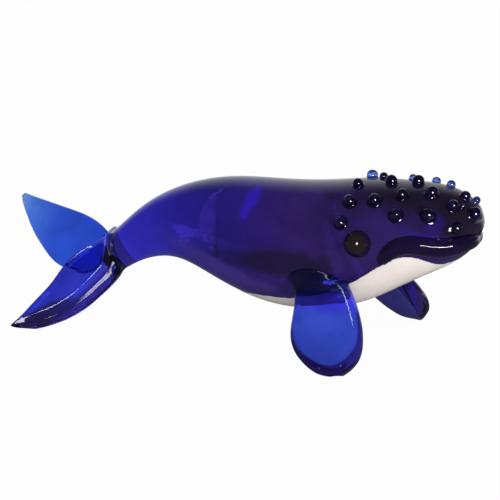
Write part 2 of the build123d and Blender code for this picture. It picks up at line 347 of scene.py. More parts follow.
def ring_direction(turn, tilt):
    """Direction from the body's middle to a spoke of a ring that leans by tilt."""
    return Vector((0, 1, 0)) * cos(turn) + Vector((-sin(tilt), 0, cos(tilt))) * sin(turn)


def middle_line(places):
    """Heights of the body's middle at some places along X, evened out, from the tail's joint on."""
    known_x, known_z = [TAIL_END.x], [TAIL_END.z]
    for x in places:
        top = skin_tree.ray_cast(Vector((x, middle_y, RAY_TOP)), Vector((0, 0, -1)))[0]
        bottom = skin_tree.ray_cast(Vector((x, middle_y, RAY_BOTTOM)), Vector((0, 0, 1)))[0]
        if top and bottom and x > TAIL_END.x + MIDDLE_CLEAR:
            known_x.append(x)
            known_z.append((top.z + bottom.z) / 2)
    heights = np.interp(places, known_x, known_z)
    for _ in range(MIDDLE_ROUNDS):
        even_out(heights)
    return heights


def measure_skin(centres, tilts, turns):
    """Radius of the body at each spoke of each ring, and where it has none or lies in the lip's
    channel."""
    radius = np.zeros((BODY_RINGS, BODY_SPOKES))
    fill = np.zeros((BODY_RINGS, BODY_SPOKES), bool)
    for i in range(BODY_RINGS):
        for j, turn in enumerate(turns):
            direction = ring_direction(turn, tilts[i])
            hit = skin_tree.ray_cast(centres[i] + direction * RAY_START, -direction, RAY_START)[0]
            if hit is None:
                fill[i, j] = True
                continue
            radius[i, j] = (hit - centres[i]).length
            fill[i, j] = lip_tree.find_nearest(hit)[3] < LIP_TOUCH
    return radius, fill


def even_skin(radius, fill):
    """The same radii, with the channel closed and the outlines smoothed."""
    radius[fill] = radius[~fill].mean()
    for _ in range(FILL_ROUNDS):
        around = np.roll(radius, 1, 1) + np.roll(radius, -1, 1)
        around += np.vstack([radius[:1], radius[:-1]]) + np.vstack([radius[1:], radius[-1:]])
        radius[fill] = around[fill] / 4
    for _ in range(BODY_SMOOTHING):
        even_out(radius)
    waves = np.fft.rfft(radius, axis=1)
    waves *= np.exp(-((np.arange(waves.shape[1]) / BODY_WAVES) ** 2))
    return np.fft.irfft(waves, BODY_SPOKES, axis=1)


def channel_edge(points, centres, fill):
    """Points along the upper edge of the lip's channel, on both sides."""
    quarter = BODY_SPOKES // 4
    edge = []
    for i in range(BODY_RINGS):
        if centres[i].x <= LIP_BACK:
            continue
        for half in (range(quarter, 3 * quarter), range(-quarter, quarter)):
            row = [
                j for j in half
                if fill[i, j] and lip_tree.find_nearest(Vector(points[i, j]))[3] < LIP_NEAR
            ]
            if row:
                edge.append(points[i, max(row, key=lambda j: points[i, j][2])])
    return np.array(edge).reshape(-1, 3)


def press_mouth(points, centres, tilts, turns, edge):
    """Presses a crease in along the top of the lip, which opens into the mouth at the front."""
    for i in range(BODY_RINGS):
        near = edge[abs(edge[:, 0] - centres[i].x) < RIM_WINDOW]
        if not len(near):
            continue
        ramp = ease(min(1.0, max(0.0, (centres[i].x - MOUTH_START) / MOUTH_RAMP)))
        depth = CREASE_DEPTH + (MOUTH_DEPTH - CREASE_DEPTH) * ramp
        for j, turn in enumerate(turns):
            away = sqrt(((near - points[i, j]) ** 2).sum(1).min())
            if away < MOUTH_REACH:
                dent = depth * np.exp(-((away / MOUTH_WIDTH) ** 2))
                points[i, j] -= np.array(ring_direction(turn, tilts[i])) * dent


def make_body():
    """Even skin over the body, its opal and the channel of the lip, with the mouth pressed in."""
    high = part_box("body")[1]
    start = TAIL_END.x + TAIL_SKIP
    length = high.x - start - NOSE_SKIP
    shares = np.linspace(0, 1, BODY_RINGS)
    shares = np.sin(shares * pi / 2) * RING_CROWDING + shares * (1 - RING_CROWDING)
    places = start + length * shares
    turns = [2 * pi * j / BODY_SPOKES for j in range(BODY_SPOKES)]
    tilts = [radians(TAIL_TILT) * ease(max(0.0, 1 - share / TILT_REACH)) for share in shares]
    centres = [Vector((x, middle_y, z)) for x, z in zip(places, middle_line(places))]
    radius, fill = measure_skin(centres, tilts, turns)
    radius = even_skin(radius, fill)
    points = np.zeros((BODY_RINGS, BODY_SPOKES, 3))
    for i in range(BODY_RINGS):
        for j, turn in enumerate(turns):
            points[i, j] = centres[i] + ring_direction(turn, tilts[i]) * radius[i, j]
    press_mouth(points, centres, tilts, turns, channel_edge(points, centres, fill))
    faces = []
    for i in range(BODY_RINGS - 1):
        for j in range(BODY_SPOKES):
            a, b = i * BODY_SPOKES + j, i * BODY_SPOKES + (j + 1) % BODY_SPOKES
            faces.append((a, b, b + BODY_SPOKES, a + BODY_SPOKES))
    flat = [tuple(p) for p in points.reshape(-1, 3)]
    nose = len(flat)
    flat.append(Vector((high.x, middle_y, centres[-1].z)))
    last = (BODY_RINGS - 1) * BODY_SPOKES
    for j in range(BODY_SPOKES):
        faces.append((last + j, last + (j + 1) % BODY_SPOKES, nose))
    return flat, faces


def add_bubbles(points, faces, bubbles):
    """Adds small round hollows to a closed mesh."""
    for centre, radius in bubbles:
        add_ball(points, faces, Vector(centre) * MM, radius * MM, *BUBBLE_GRID, inward=True)


def blade_frame(points, lead):
    """Middle and axes of a flat piece: along it, across it to its leading edge, and through it."""
    middle = points.mean(0)
    _, _, (long, chord, thin) = np.linalg.svd(points - middle, full_matrices=False)
    if chord @ np.array(lead) < 0:
        chord = -chord
    return middle, long, chord, thin


def blade_shares(points, lead, root):
    """Where each point of a blade lies: share along it, millimetres in from its tip and from its
    leading and trailing edge, height off its middle plane, half thickness there, and the axis
    through it."""
    middle, long, chord, thin = blade_frame(points, lead)
    offset = points - middle
    s, c, t = offset @ long, offset @ chord, offset @ thin
    bins = np.linspace(s.min(), s.max(), BLADE_BINS + 1)
    which = np.clip(np.digitize(s, bins) - 1, 0, BLADE_BINS - 1)
    rows = []
    for k in range(BLADE_BINS):
        inside = which == k
        rows.append([c[inside].min(), c[inside].max(), t[inside].min(), t[inside].max()])
    rows = np.array(rows)
    for _ in range(BIN_ROUNDS):
        even_out(rows)
    stops = (bins[1:] + bins[:-1]) / 2
    c_low, c_high, t_low, t_high = (np.interp(s, stops, rows[:, k]) for k in range(4))
    along = (s - s.min()) / (s.max() - s.min())
    if (root - Vector(middle)).dot(Vector(long)) > 0:
        along = 1 - along
    level = (t_high + t_low) / 2
    tip = (1 - along) * (s.max() - s.min()) / MM
    return along, tip, (c_high - c) / MM, (c - c_low) / MM, t - level, (t_high - t_low) / 2, thin


def edge_distance(points, lead):
    """Millimetres from each point of a blade to the outline of its flat side."""
    middle, long, chord, _ = blade_frame(points, lead)
    flat = np.stack([(points - middle) @ long, (points - middle) @ chord], 1) / MM
    turns = np.linspace(0, 2 * pi, OUTLINE_TURNS, endpoint=False)
    outline = flat[np.argmax(flat @ np.array([np.cos(turns), np.sin(turns)]), axis=0)]
    following = np.roll(outline, -1, 0)
    steps = np.linspace(0, 1, OUTLINE_STEPS)[:, None, None]
    outline = (outline + (following - outline) * steps).reshape(-1, 2)
    return np.array([sqrt(((outline - p) ** 2).sum(1).min()) for p in flat])


def dome(share):
    """Height of a quarter round: 0 at its foot and 1 from its top on."""
    return np.sqrt(1 - (1 - np.clip(share, 0, 1)) ** 2)


def reshape(points, lead, root, profile, root_share):
    """Gives a blade another section. Profile is its half thickness in millimetres."""
    along, tip, ahead, behind, height, half, thin = blade_shares(points, lead, root)
    wanted = profile(along, tip, ahead, behind, half / MM) * MM
    blend = np.clip((along - root_share) / ROOT_FADE, 0, 1)
    moved = np.sign(height) * wanted * blend + height * (1 - blend)
    return points + np.outer(moved - height, thin)


def flipper_profile(along, tip, ahead, behind, half):
    """Flat face with a low ridge inside the leading edge, and a round rim."""
    ridge = FLIPPER_RIDGE * np.exp(-(((ahead - RIDGE_PLACE) / RIDGE_WIDTH) ** 2))
    return half * (FLIPPER_FACE + ridge) * dome(np.minimum(ahead, behind) / FLIPPER_ROUND)


def thick_profile(along, tip, ahead, behind, half):
    """Rod along the leading edge that runs out into a web."""
    rod = np.interp(along, ROD_PLACES, ROD_RADII)
    back = np.exp(-((np.clip(ahead - rod, 0, None) / WEB_SLOPE) ** 2))
    return dome(ahead / rod) * (WEB + (rod - WEB) * back) * dome(behind / WEB_ROUND)


def thin_profile(along, tip, ahead, behind, half):
    """Thin sheet with a slightly thicker rim."""
    near = np.minimum(np.minimum(ahead, behind), tip)
    ridge = THIN_RIDGE * np.exp(-(((near - THIN_ROUND) / THIN_RIDGE_WIDTH) ** 2))
    return dome(near / THIN_ROUND) * (THIN_FACE + ridge)


def fuse(points, normals, tree):
    """Spreads a root where it meets the carrying glass, and sinks the faces that lie on it."""
    moved = points.copy()
    for i, p in enumerate(points):
        near, skin, _, away = tree.find_nearest(Vector(p))
        if away > FLARE_REACH:
            continue
        up = np.array(skin)
        if away < LIES_ON or (p - np.array(near)) @ up < 0:
            moved[i] = np.array(near) - up * SINK
        side = normals[i] - up * (normals[i] @ up)
        size = np.linalg.norm(side)
        if size > FLARE_LEAST:
            moved[i] += side / size * FLARE * (1 - away / FLARE_REACH) ** FLARE_CURVE
    return moved


def join_tail(leaf):
    """Cuts the fluke's root open near the joint, and runs it on from the body's skin."""
    back = Vector((-cos(radians(TAIL_TILT)), 0, -sin(radians(TAIL_TILT))))
    mesh = bmesh.new()
    mesh.from_mesh(leaf.data)
    everything = mesh.verts[:] + mesh.edges[:] + mesh.faces[:]
    bmesh.ops.bisect_plane(
        mesh, geom=everything, plane_co=TAIL_END + back * TAIL_CUT, plane_no=back, clear_inner=True
    )
    mesh.to_mesh(leaf.data)
    mesh.free()
    points = get_points(leaf)
    starts = [TAIL_END - back * ahead for ahead in (TAPER_NEAR, TAPER_FAR)]
    stretch = (TAIL_DRAWN + TAIL_LAP) / (TAIL_DRAWN - TAIL_CUT)
    for i, p in enumerate(points):
        offset = Vector(p) - TAIL_END
        depth = offset.dot(back)
        if depth > TAIL_BLEND:
            continue
        flat = offset - back * depth
        size = flat.length
        outward = flat / size
        outer, before = (body_tree.ray_cast(start, outward)[3] for start in starts)
        taper = min(TAPER_MOST, max(TAPER_LEAST, (outer - before) / (TAPER_FAR - TAPER_NEAR)))
        if depth < TAIL_DRAWN:
            depth = TAIL_DRAWN - (TAIL_DRAWN - depth) * stretch
        early = TOP_EARLY * max(0, outward.z) + ROLL_EARLY * max(0, outward.dot(TAIL_ROLL))
        share = 1 - min(1, max(0, depth / (TAIL_BLEND * (1 - early))))
        wanted = outer + taper * (depth + TAPER_NEAR) + TAIL_PROUD
        size += (wanted - size) * ease(share)
        points[i] = TAIL_END + back * depth + outward * size
    set_points(leaf, points)
    return leaf


def keep_faces(obj, faces):
    """The object again, with only some of its faces."""
    points = get_points(obj)
    used = np.unique(faces)
    order = np.zeros(len(points), int)
    order[used] = np.arange(len(used))
    name = obj.name
    bpy.data.objects.remove(obj)
    return new_piece(name, points[used], order[faces])


def open_root(obj, tree, depth):
    """Drops the faces inside the carrying glass, because glass melted together has no seam."""
    points, faces = mesh_arrays(obj)
    buried = np.zeros(len(points), bool)
    for i, p in enumerate(points):
        near, skin, _, _ = tree.find_nearest(Vector(p))
        buried[i] = (Vector(p) - near).dot(skin) < -depth
    return keep_faces(obj, faces[~buried[faces].all(1)])


def paint(obj, name, values):
    """Keeps a value for each point, from 0 to 1, that its material reads."""
    layer = obj.data.attributes.new(name, "FLOAT", "POINT")
    layer.data.foreach_set("value", np.clip(values, 0, 1).astype(np.float32))


def touching(obj, node):
    """1 for each point of an object that lies on another piece, where they are melted together."""
    tree = tree_of(nodes[node])
    return np.array([tree.find_nearest(Vector(p))[3] < TOUCH for p in get_points(obj)], float)


def lathe(name, foot, axis, rows, spokes=40, squash=1.0, closed=False):
    """Round piece on the body. Each row is a radius, a height and how much it follows the skin."""
    side = axis.orthogonal().normalized()
    other = axis.cross(side)
    points, faces = [foot + axis * rows[0][1]], []
    for radius, height, hug in rows[1:-1]:
        for k in range(spokes):
            turn = 2 * pi * k / spokes
            flat = foot + (side * cos(turn) * squash + other * sin(turn) / squash) * radius
            hit = body_tree.ray_cast(flat + axis * SKIN_SEEN, -axis)[0]
            drop = (hit - flat).dot(axis) if hit else 0.0
            points.append(flat + axis * (height + hug * max(drop, -SKIN_DEEPEST)))
    points.append(foot + axis * rows[-1][1])
    last = len(points) - 1
    for k in range(spokes):
        after = (k + 1) % spokes
        faces.append((0, 1 + k, 1 + after))
        for i in range(len(rows) - 3):
            a = 1 + i * spokes
            faces.append((a + k, a + spokes + k, a + spokes + after, a + after))
        if closed:
            faces.append((last - spokes + after, last - spokes + k, last))
    if not closed:
        points.pop()
    return new_piece(name, points, faces)


def ball_of(points):
    """Middle and radius of the ball that the points lie on."""
    centre = points.mean(0)
    near = (points - centre) / MM
    sides = np.hstack([2 * near, np.ones((len(near), 1))])
    solved = np.linalg.lstsq(sides, (near ** 2).sum(1), rcond=None)[0]
    return centre + solved[:3] * MM, sqrt(solved[3] + solved[:3] @ solved[:3]) * MM


def foot_under(point):
    """Nearest place on the body's skin, and the direction from it out to the point."""
    near, normal, _, _ = body_tree.find_nearest(Vector(point))
    axis = (Vector(point) - near).normalized()
    return near, axis if axis.dot(normal) > 0 else -axis


def make_bead(name, node):
    """Melted bead with a concave foot that runs out over the body."""
    middle, radius = ball_of(mesh_arrays(nodes[node])[0])
    foot, axis = foot_under(middle)
    feet.append((foot, BEAD_HOLE * radius))
    chance = random.Random(node)
    tall = chance.uniform(*BEAD_HEIGHTS)
    stand = LOW_STAND if node == LOW_BEAD else BEAD_STAND
    rows = [(0.0, (stand + 1) * tall, 0)]
    for step in range(1, BEAD_ROWS + 1):
        turn = radians(90 - BEAD_STEP * step)
        if stand + sin(turn) > BEAD_FOOT:
            rows.append((cos(turn), (stand + sin(turn)) * tall, 0))
    rows = [(a * radius, b * radius, hug) for a, b, hug in (*rows, *FOOT_ROWS)]
    return lathe(name, foot, axis, rows, squash=chance.uniform(*BEAD_SQUASH))


def in_metres(rows):
    """Rows of a round piece that are given in millimetres."""
    return [(a * MM, b * MM, hug) for a, b, hug in rows]


def make_eye(side):
    """Casing dot that runs out over the head, and the dark bead melted into it."""
    points = mesh_arrays(nodes[f"{side}_eye_casing"])[0]
    foot, axis = foot_under((points.min(0) + points.max(0)) / 2)
    feet.append((foot, EYE_HOLE * MM))
    bead = [(0, PUPIL_BASE + PUPIL_RISE, 0)]
    for step in range(1, PUPIL_STEPS + 1):
        turn = radians(90 * step / PUPIL_STEPS)
        bead.append((PUPIL_RADIUS * sin(turn), PUPIL_BASE + PUPIL_RISE * cos(turn), 0))
    bead += PUPIL_ROWS
    ring = lathe(f"{side}_eye_ring", foot, axis, in_metres(CASING_ROWS), EYE_SPOKES)
    pupil = lathe(f"{side}_eye_bead", foot, axis, in_metres(bead), EYE_SPOKES, closed=True)
    return ring, pupil


def add_node(tree, kind, **inputs):
    """Node with its inputs set to values, or linked where they are sockets."""
    node = tree.nodes.new(kind)
    for key, value in inputs.items():
        socket = node.inputs[key.replace("_", " ")]
        if isinstance(value, bpy.types.NodeSocket):
            tree.links.new(value, socket)
        else:
            socket.default_value = value
    return node


def add_mix(tree, kind, sockets, values):
    """Mix node for one kind of data: its share, first and second input."""
    node = tree.nodes.new("ShaderNodeMix")
    node.data_type = kind
    for socket, value in zip((node.inputs[k] for k in sockets), values):
        if isinstance(value, bpy.types.NodeSocket):
            tree.links.new(value, socket)
        else:
            socket.default_value = (*value, 1) if isinstance(value, tuple) else value
    return node


def mix_colours(tree, share, first, second):
    """Mix of two colours, from values or sockets."""
    return add_mix(tree, "RGBA", (0, 6, 7), (share, first, second)).outputs[2]


def mix_values(tree, share, first, second):
    """Mix of two numbers, from values or sockets."""
    return add_mix(tree, "FLOAT", (0, 2, 3), (share, first, second)).outputs[0]


def add_vector(tree, operation, first, second=None):
    """Vector maths node whose second input may be a socket or a value."""
    node = tree.nodes.new("ShaderNodeVectorMath")
    node.operation = operation
    tree.links.new(first, node.inputs[0])
    if isinstance(second, bpy.types.NodeSocket):
        tree.links.new(second, node.inputs[1])
    elif second is not None:
        node.inputs[1].default_value = second
    return node


def add_ramp(tree, value, tints):
    """Colour that runs through some tints, each at its place from 0 to 1."""
    ramp = add_node(tree, "ShaderNodeValToRGB", Fac=value)
    elements = ramp.color_ramp.elements
    while len(elements) < len(tints):
        elements.new(0.5)
    for element, (place, tint) in zip(elements, tints):
        element.position = place
        element.color = (*tint, 1)
    return ramp.outputs["Color"]


def add_range(tree, value, low, high, first=0.0, last=1.0, eased=False):
    """A value that runs from first to last while the given one runs from low to high."""
    node = add_node(
        tree, "ShaderNodeMapRange", Value=value, From_Min=low, From_Max=high, To_Min=first,
        To_Max=last,
    )
    if eased:
        node.interpolation_type = "SMOOTHSTEP"
    return node.outputs["Result"]


def add_blot(tree, coords, colour, warp, centre, radii, soft, tint, strength, lean=0.0):
    """Spot of another tint painted into the glass's colour, turned about Y by lean degrees; most
    such spots are painted light and shade. Its middle and radii are in millimetres."""
    mapping = tree.nodes.new("ShaderNodeMapping")
    mapping.vector_type = "TEXTURE"
    mapping.inputs["Location"].default_value = [v * MM for v in centre]
    mapping.inputs["Scale"].default_value = [v * MM for v in radii]
    mapping.inputs["Rotation"].default_value = (0, radians(lean), 0)
    tree.links.new(coords, mapping.inputs["Vector"])
    shifted = add_vector(tree, "ADD", mapping.outputs["Vector"], warp)
    size = add_vector(tree, "LENGTH", shifted.outputs["Vector"])
    edge = add_range(
        tree, size.outputs["Value"], 1 + soft / 2, 1 - soft / 2, last=strength, eased=True
    )
    return mix_colours(tree, edge, colour, tint)


def new_material(name):
    """Material, with its node tree and its shader."""
    mat = bpy.data.materials.new(name)
    mat.use_nodes = True
    return mat, mat.node_tree, mat.node_tree.nodes["Principled BSDF"]


def add_glass(name, tints, clear=1.0, rough=0.02, streak=0.2, ripple=0.02, scale=60.0, span=None,
              clear_span=None, blots=(), rims=()):
    """Coloured glass with tinted spots, painted point values, streaks and ripples; most of the
    spots and painted values are painted light and shade. Where it has spans, its tint and its two
    values of clear run along X over them, in millimetres."""
    mat, tree, shader = new_material(name)
    shader.inputs["IOR"].default_value = GLASS_INDEX
    coords = tree.nodes.new("ShaderNodeTexCoord").outputs["Object"]
    noise = add_node(
        tree, "ShaderNodeTexNoise", Vector=coords, Scale=scale, Detail=3.0, Distortion=1.2
    )
    if span:
        where = add_node(tree, "ShaderNodeSeparateXYZ", Vector=coords).outputs["X"]
        colour = add_ramp(tree, add_range(tree, where, *(x * MM for x in span)), tints)
        fade = add_range(tree, where, *(x * MM for x in clear_span), *clear)
        tree.links.new(fade, shader.inputs["Transmission Weight"])
    else:
        colour = add_ramp(tree, noise.outputs["Fac"], tints)
        shader.inputs["Transmission Weight"].default_value = clear
    warp_noise = add_node(tree, "ShaderNodeTexNoise", Vector=coords, Scale=scale * 2.5, Detail=2.0)
    centred = add_vector(tree, "SUBTRACT", warp_noise.outputs["Color"], (0.5, 0.5, 0.5))
    warp = add_vector(tree, "SCALE", centred.outputs["Vector"])
    warp.inputs["Scale"].default_value = BLOT_WARP
    for field, tint in rims:
        layer = tree.nodes.new("ShaderNodeAttribute")
        layer.attribute_name = field
        colour = mix_colours(tree, layer.outputs["Fac"], colour, tint)
    for blot in blots:
        colour = add_blot(tree, coords, colour, warp.outputs["Vector"], *blot)
    veiled = add_vector(tree, "SCALE", colour)
    veil = add_range(tree, noise.outputs["Fac"], 0.3, 0.7, 1 - streak, 1 + streak)
    tree.links.new(veil, veiled.inputs["Scale"])
    tree.links.new(veiled.outputs["Vector"], shader.inputs["Base Color"])
    rough_map = add_range(tree, noise.outputs["Fac"], 0.0, 1.0, rough * 0.6, rough * 1.6)
    tree.links.new(rough_map, shader.inputs["Roughness"])
    wave = add_node(tree, "ShaderNodeTexNoise", Vector=coords, Scale=scale * 1.6, Detail=1.0)
    bump = add_node(
        tree, "ShaderNodeBump", Strength=0.3, Distance=ripple * MM, Height=wave.outputs["Fac"]
    )
    tree.links.new(bump.outputs["Normal"], shader.inputs["Normal"])
    return mat


def make_opal():
    """White opal glass that lets a little light in."""
    mat, tree, shader = new_material("opal_glass")
    shader.inputs["Roughness"].default_value = 0.12
    shader.inputs["Subsurface Weight"].default_value = 0.5
    shader.inputs["Subsurface Scale"].default_value = 2 * MM
    shader.inputs["Subsurface Radius"].default_value = (1.0, 0.8, 0.7)
    coords = tree.nodes.new("ShaderNodeTexCoord").outputs["Object"]
    noise = add_node(tree, "ShaderNodeTexNoise", Vector=coords, Scale=90.0)
    colour = add_ramp(tree, noise.outputs["Fac"], opal_tints)
    tree.links.new(colour, shader.inputs["Base Color"])
    return mat


# Painted light and shade in the body's colour, as tinted spots: middle, radii, softness, tint,
# strength and, for some, their lean
body_light_shade_spots = (
    # Painted shade: dark spots at the level of the opal, as seen from inside the glass
    ((25, -21, 29.5), (15, 12, 4.2), 0.6, (0.010, 0.005, 0.018), 0.8),
    ((6, -19, 29), (7, 12, 3.0), 0.8, (0.010, 0.005, 0.030), 0.6),
    # Painted light: bright blue patches where light comes through the glass
    ((12, -13, 46.5), (2.2, 9, 2.6), 0.9, (0.04, 0.015, 0.62), 0.9),
    ((11, -14, 43), (1.6, 9, 2.0), 0.9, (0.04, 0.015, 0.62), 0.8),
    # A thin darker band across the near flank
    ((2.2, -18, 32), (0.8, 9, 7), 1.0, (0.008, 0.004, 0.04), 0.6),
    # Painted shade: darker over the back of the tail stock, the top of the head and the nose
    ((-14, -3, 49), (18, 12, 3.0), 0.8, (0.010, 0.005, 0.05), 0.7),
    ((62, -8, 52), (22, 25, 7.0), 1.0, (0.012, 0.007, 0.012), 0.8),
    ((80, -8, 42), (14, 16, 9.0), 1.0, (0.012, 0.007, 0.010), 0.85),
    # Painted glint: a bright blue line along the crease over the lip, and a bright patch above it
    ((67, -16, 40.2), (7.5, 7, 0.7), 0.9, (0.03, 0.012, 0.32), 0.8, 9.0),
    ((68.7, -15, 43.6), (2.4, 6, 3.0), 0.9, (0.03, 0.012, 0.22), 0.7),
    # Painted light from the white floor: a lighter band along the lower flank
    ((4, -17, 25), (21, 9, 2.6), 1.0, (0.075, 0.038, 0.30), 0.75, 18.0),
)
# Seed bubbles: middle and radius
body_bubbles = (
    ((24.9, -5.4, 49.2), 0.30),
    ((25.3, -19.2, 37.2), 0.35),
    ((26.3, -19.6, 36.0), 0.25),
    ((37, -9, 48.6), 0.30),
    ((20.4, -17.9, 22.3), 0.35),
    ((31, -18, 33), 0.22),
    ((44, -17, 31), 0.25),
    ((8, -12, 30), 0.25),
)
# Tints: each has its place from 0 to 1, along the glass's span or in its noise, and its colour
# The body's tints along X are painted light and shade: bright blue where light comes through the
# thin tail stock, running into painted shade towards the thick head
body_light_shade_ramp = (
    (0.0, (0.032, 0.026, 0.56)),
    (0.20, (0.022, 0.015, 0.36)),
    (0.38, (0.026, 0.011, 0.22)),
    (0.55, (0.034, 0.014, 0.145)),
    (0.85, (0.033, 0.015, 0.14)),
)
violet = ((0.3, (0.018, 0.008, 0.06)), (0.7, (0.024, 0.010, 0.11)))
flipper_tints = ((0.3, (0.022, 0.044, 0.46)), (0.7, (0.038, 0.070, 0.54)))
thick_tints = ((0.3, (0.016, 0.022, 0.40)), (0.7, (0.026, 0.036, 0.48)))
thin_tints = (
    (0.0, (0.17, 0.30, 0.68)),
    (0.12, (0.06, 0.17, 0.66)),
    (0.4, (0.024, 0.085, 0.62)),
    (1.0, (0.016, 0.055, 0.57)),
)
bead_tints = ((0.3, (0.014, 0.008, 0.07)), (0.7, (0.022, 0.012, 0.12)))
opal_tints = ((0.3, (0.86, 0.77, 0.72)), (0.7, (0.92, 0.84, 0.79)))
# painted light of the white surroundings seen through a bead
backlit_bead_tint = (0.11, 0.19, 0.62)
casing_tints = ((0.3, (0.010, 0.006, 0.04)), (0.7, (0.018, 0.010, 0.07)))
pupil_tints = ((0.3, (0.011, 0.007, 0.007)), (0.7, (0.020, 0.013, 0.011)))
# painted shade along a flipper's rim
rim_shade_tint = (0.010, 0.003, 0.09)
# painted shade along the thick fluke's rolled edge
roll_shade_tint = (0.022, 0.010, 0.13)
root_violet = ((40, -25, 20), (12, 8, 2.4), 0.9, (0.06, 0.03, 0.95), 0.8)
far_strip = ((54.5, 19.5, 11), (0.9, 6, 7), 0.9, (0.04, 0.02, 0.45), 0.8)
far_mauve = ((58, 21, 8), (2.6, 6, 8), 0.9, (0.09, 0.06, 0.12), 0.7)
seam = ((-37.8, -4, 23.5), (2.0, 16, 16), 0.5, (0.010, 0.005, 0.045), 0.95, -TAIL_TILT)
# Painted shade over the thick fluke's rolled edge near its tip
tip_shade = ((-55, -21, 5.2), (13, 6, 3.2), 0.6, (0.012, 0.006, 0.03), 0.85, -31)
clear_glass = (0.95, 0.96, 1.0)

body_glass = add_glass(
    "body_glass", body_light_shade_ramp, clear=(0.9, 0.28), span=(-37, 80), clear_span=(-37, 25),
    blots=(*body_light_shade_spots, seam),
)
lip_glass = add_glass("lip_glass", violet, clear=0.75)
flipper_glass = add_glass(
    "flipper_glass", flipper_tints, ripple=0.10, rims=(("rim", rim_shade_tint),),
    blots=(root_violet, far_strip, far_mauve),
)
thick_fluke_glass = add_glass(
    "thick_fluke_glass", thick_tints, rims=(("roll", roll_shade_tint), ("inner", clear_glass)),
    blots=(seam, tip_shade),
)
thin_fluke_glass = add_glass(
    "thin_fluke_glass", thin_tints, clear=(1.0, 1.0), span=(-81, -40), clear_span=(-81, -40),
    rims=(("inner", clear_glass),),
)
tubercle_glass = add_glass("tubercle_glass", bead_tints, clear=0.97, rims=(("pale", backlit_bead_tint),))
eye_casing_glass = add_glass("eye_casing_glass", casing_tints, clear=0.5)
eye_pupil_glass = add_glass("eye_pupil_glass", pupil_tints, clear=0.1)
opal_glass = make_opal()


def covered(points, dots):
    """Points of the body's skin under which the glass of another piece runs straight on into it."""
    flags = np.zeros(len(points), bool)
    roots = tree_of(nodes["right_flipper"], nodes["left_flipper"])
    for i, p in enumerate(points):
        away = roots.find_nearest(Vector(p))[3]
        flags[i] = away < ROOT_HOLE
    for foot, radius in dots:
        flags |= ((points - np.array(foot)) ** 2).sum(1) < radius ** 2
    return flags


def dress(obj, material, slot, *replaced):
    """Gives a piece its material and body, and hides the nodes that it replaces. Its slot is not
    used.
    """
    obj.data.materials.clear()
    obj.data.materials.append(material)
    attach(obj, "root")
    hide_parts(*replaced)
    return obj


# The skin is whole at first, for the pieces that lie on it. Where they join it, it is opened later
body_points, body_faces = make_body()
body = new_piece("glass_body", body_points, body_faces)
body_tree = tree_of(body)
feet = []
belly = remelt("opal_belly", "white_belly", FINE_WEAVE, rounds=4)
set_points(belly, get_points(belly) + get_points(belly, "normal") * OPAL_PROUD)
dress(belly, opal_glass, "opal_glass", "white_belly")
lip = remelt("lip_trail", "lower_lip", FINE_WEAVE, rounds=6)
dress(lip, lip_glass, "lip_glass", "lower_lip")
# Lead points to a blade's leading edge, and root lies near the place that it grows from
flippers, eyes = [], []
for side, out in (("right", -1), ("left", 1)):
    lead, root = (1, 0.4 * out, 0), Vector((35, 15 * out, 28)) * MM
    piece = remelt(f"{side}_flipper_paddle", f"{side}_flipper", WEAVE, rounds=3)
    set_points(piece, reshape(get_points(piece), lead, root, flipper_profile, root_share=0.05))
    set_points(piece, fuse(get_points(piece), get_points(piece, "normal"), body_tree))
    piece = open_root(smooth(piece, rounds=3), body_tree, BURIED)
    # The flipper's rim is painted shade: darker glass where the face rounds off to its edge, and
    # over the whole far flipper
    along, _, ahead, behind = blade_shares(get_points(piece), lead, root)[:4]
    across = np.clip(behind / (behind + ahead), 0, 1)
    width = np.interp(along, BACK_PLACES, BACK_WIDTHS) * (1 - across)
    width += np.interp(along, FRONT_PLACES, FRONT_WIDTHS) * across
    rim = np.clip((width - edge_distance(get_points(piece), lead)) / RIM_EDGE + 0.5, 0, 1)
    paint(piece, "rim", rim if side == "right" else np.maximum(rim, FAR_SHADE))
    dress(piece, flipper_glass, "flipper_glass", f"{side}_flipper")
    ring, pupil = make_eye(side)
    dress(ring, eye_casing_glass, "eye_casing_glass", f"{side}_eye_casing")
    dress(pupil, eye_pupil_glass, "eye_pupil_glass", f"{side}_eye_pupil")
    flippers.append(piece)
    eyes.append(pupil)
lead = (0.4, -1, 0)
rod = rolled_edge(ROLL_STATIONS)
leaf = remelt("right_fluke_leaf", "right_fluke", WEAVE, rounds=4, extra=[rod])
set_points(leaf, reshape(get_points(leaf), lead, TAIL_END, thick_profile, root_share=0.12))
leaf = smooth(join_tail(smooth(leaf, rounds=6)), rounds=12)
# Painted shade along the thick fluke's rolled leading edge
ahead = blade_shares(get_points(leaf), lead, TAIL_END)[2]
paint(leaf, "roll", (ROLL_SHADE - ahead) / ROLL_SHADE_EDGE)
paint(leaf, "inner", touching(leaf, "left_fluke"))
thick_leaf = dress(leaf, thick_fluke_glass, "thick_fluke_glass", "right_fluke")
lead = (0.4, 1, 0)
leaf = remelt("left_fluke_leaf", "left_fluke", FINE_WEAVE, rounds=4)
set_points(leaf, reshape(get_points(leaf), lead, TAIL_END, thin_profile, root_share=0.1))
leaf = smooth(leaf, rounds=4)
paint(leaf, "inner", touching(leaf, "right_fluke"))
dress(leaf, thin_fluke_glass, "thin_fluke_glass", "left_fluke")
beads = []
for node in sorted(nodes):
    if "tubercle" in node:
        piece = make_bead(node.replace("tubercle", "dot"), node)
        set_points(piece, get_points(piece))  # keeps its foot inside the box of the solids
        # Beads against the white surroundings get painted light; the others keep the dark bead tint
        paint(piece, "pale", np.full(len(piece.data.vertices), float(node in BACKLIT_BEADS)))
        beads.append(dress(piece, tubercle_glass, "tubercle_glass", node))
skin_points = np.array([tuple(point) for point in body_points])
gone = covered(skin_points, feet)
bpy.data.objects.remove(body)
body_faces = [f for f in body_faces if not all(gone[k] for k in f)]
